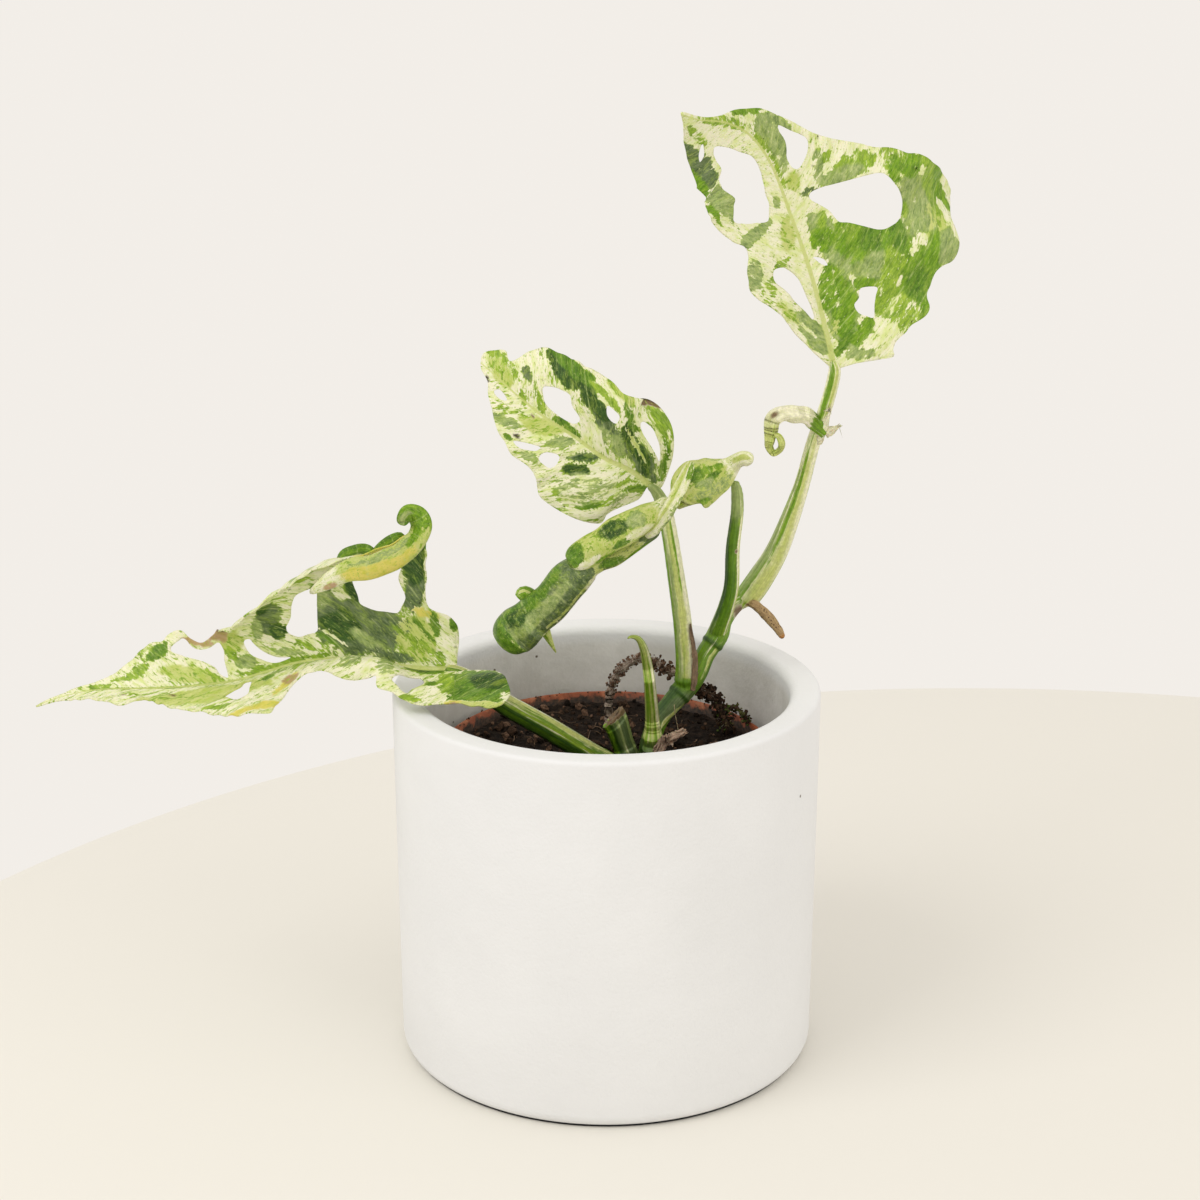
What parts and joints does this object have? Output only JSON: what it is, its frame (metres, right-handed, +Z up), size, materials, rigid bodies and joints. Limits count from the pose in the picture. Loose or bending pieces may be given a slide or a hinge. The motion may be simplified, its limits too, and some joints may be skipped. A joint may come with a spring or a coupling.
{
  "type": "potted variegated monstera adansonii",
  "caption": "Young variegated monstera adansonii: pierced cream and green leaves on a climbing stem, in a nursery pot inside a matte white cylindrical cover pot.",
  "frame": {"origin": "centre of the cover pot's foot, on the table", "axes": "+Z up; -Y towards the side where the top leaf shows its face; -X towards the leaf that lies out over the lip"},
  "size_m": [0.2977, 0.14, 0.3109],
  "materials": {
    "cover_pot": "matte white with a fine pebbled grain",
    "nursery_pot": "matte terracotta-coloured plastic, dusty with soil",
    "potting_soil": "dark crumbly peat mix with fibres",
    "stem": "satin green with paler stripes",
    "blade": "satin leaf, marbled cream and green",
    "new_blade": "satin, pale cream-green",
    "root": "rough brown, dusted with soil",
    "husk": "dry and papery"
  },
  "bodies": {
    "root": {"cover_pot": "cover_pot", "nursery_pot": "nursery_pot", "potting_soil": "potting_soil", "climbing_stem": "stem", "left_stalk": "stem", "young_shoot": "stem", "cut_stub": "stem", "aerial_root": "root", "looped_root": "root", "right_root": "root", "dry_sheath": "husk", "leaf_top": "blade", "leaf_middle": "blade", "leaf_rolled": "blade", "leaf_left": "blade", "leaf_new": "new_blade"}
  },
  "joints": []
}
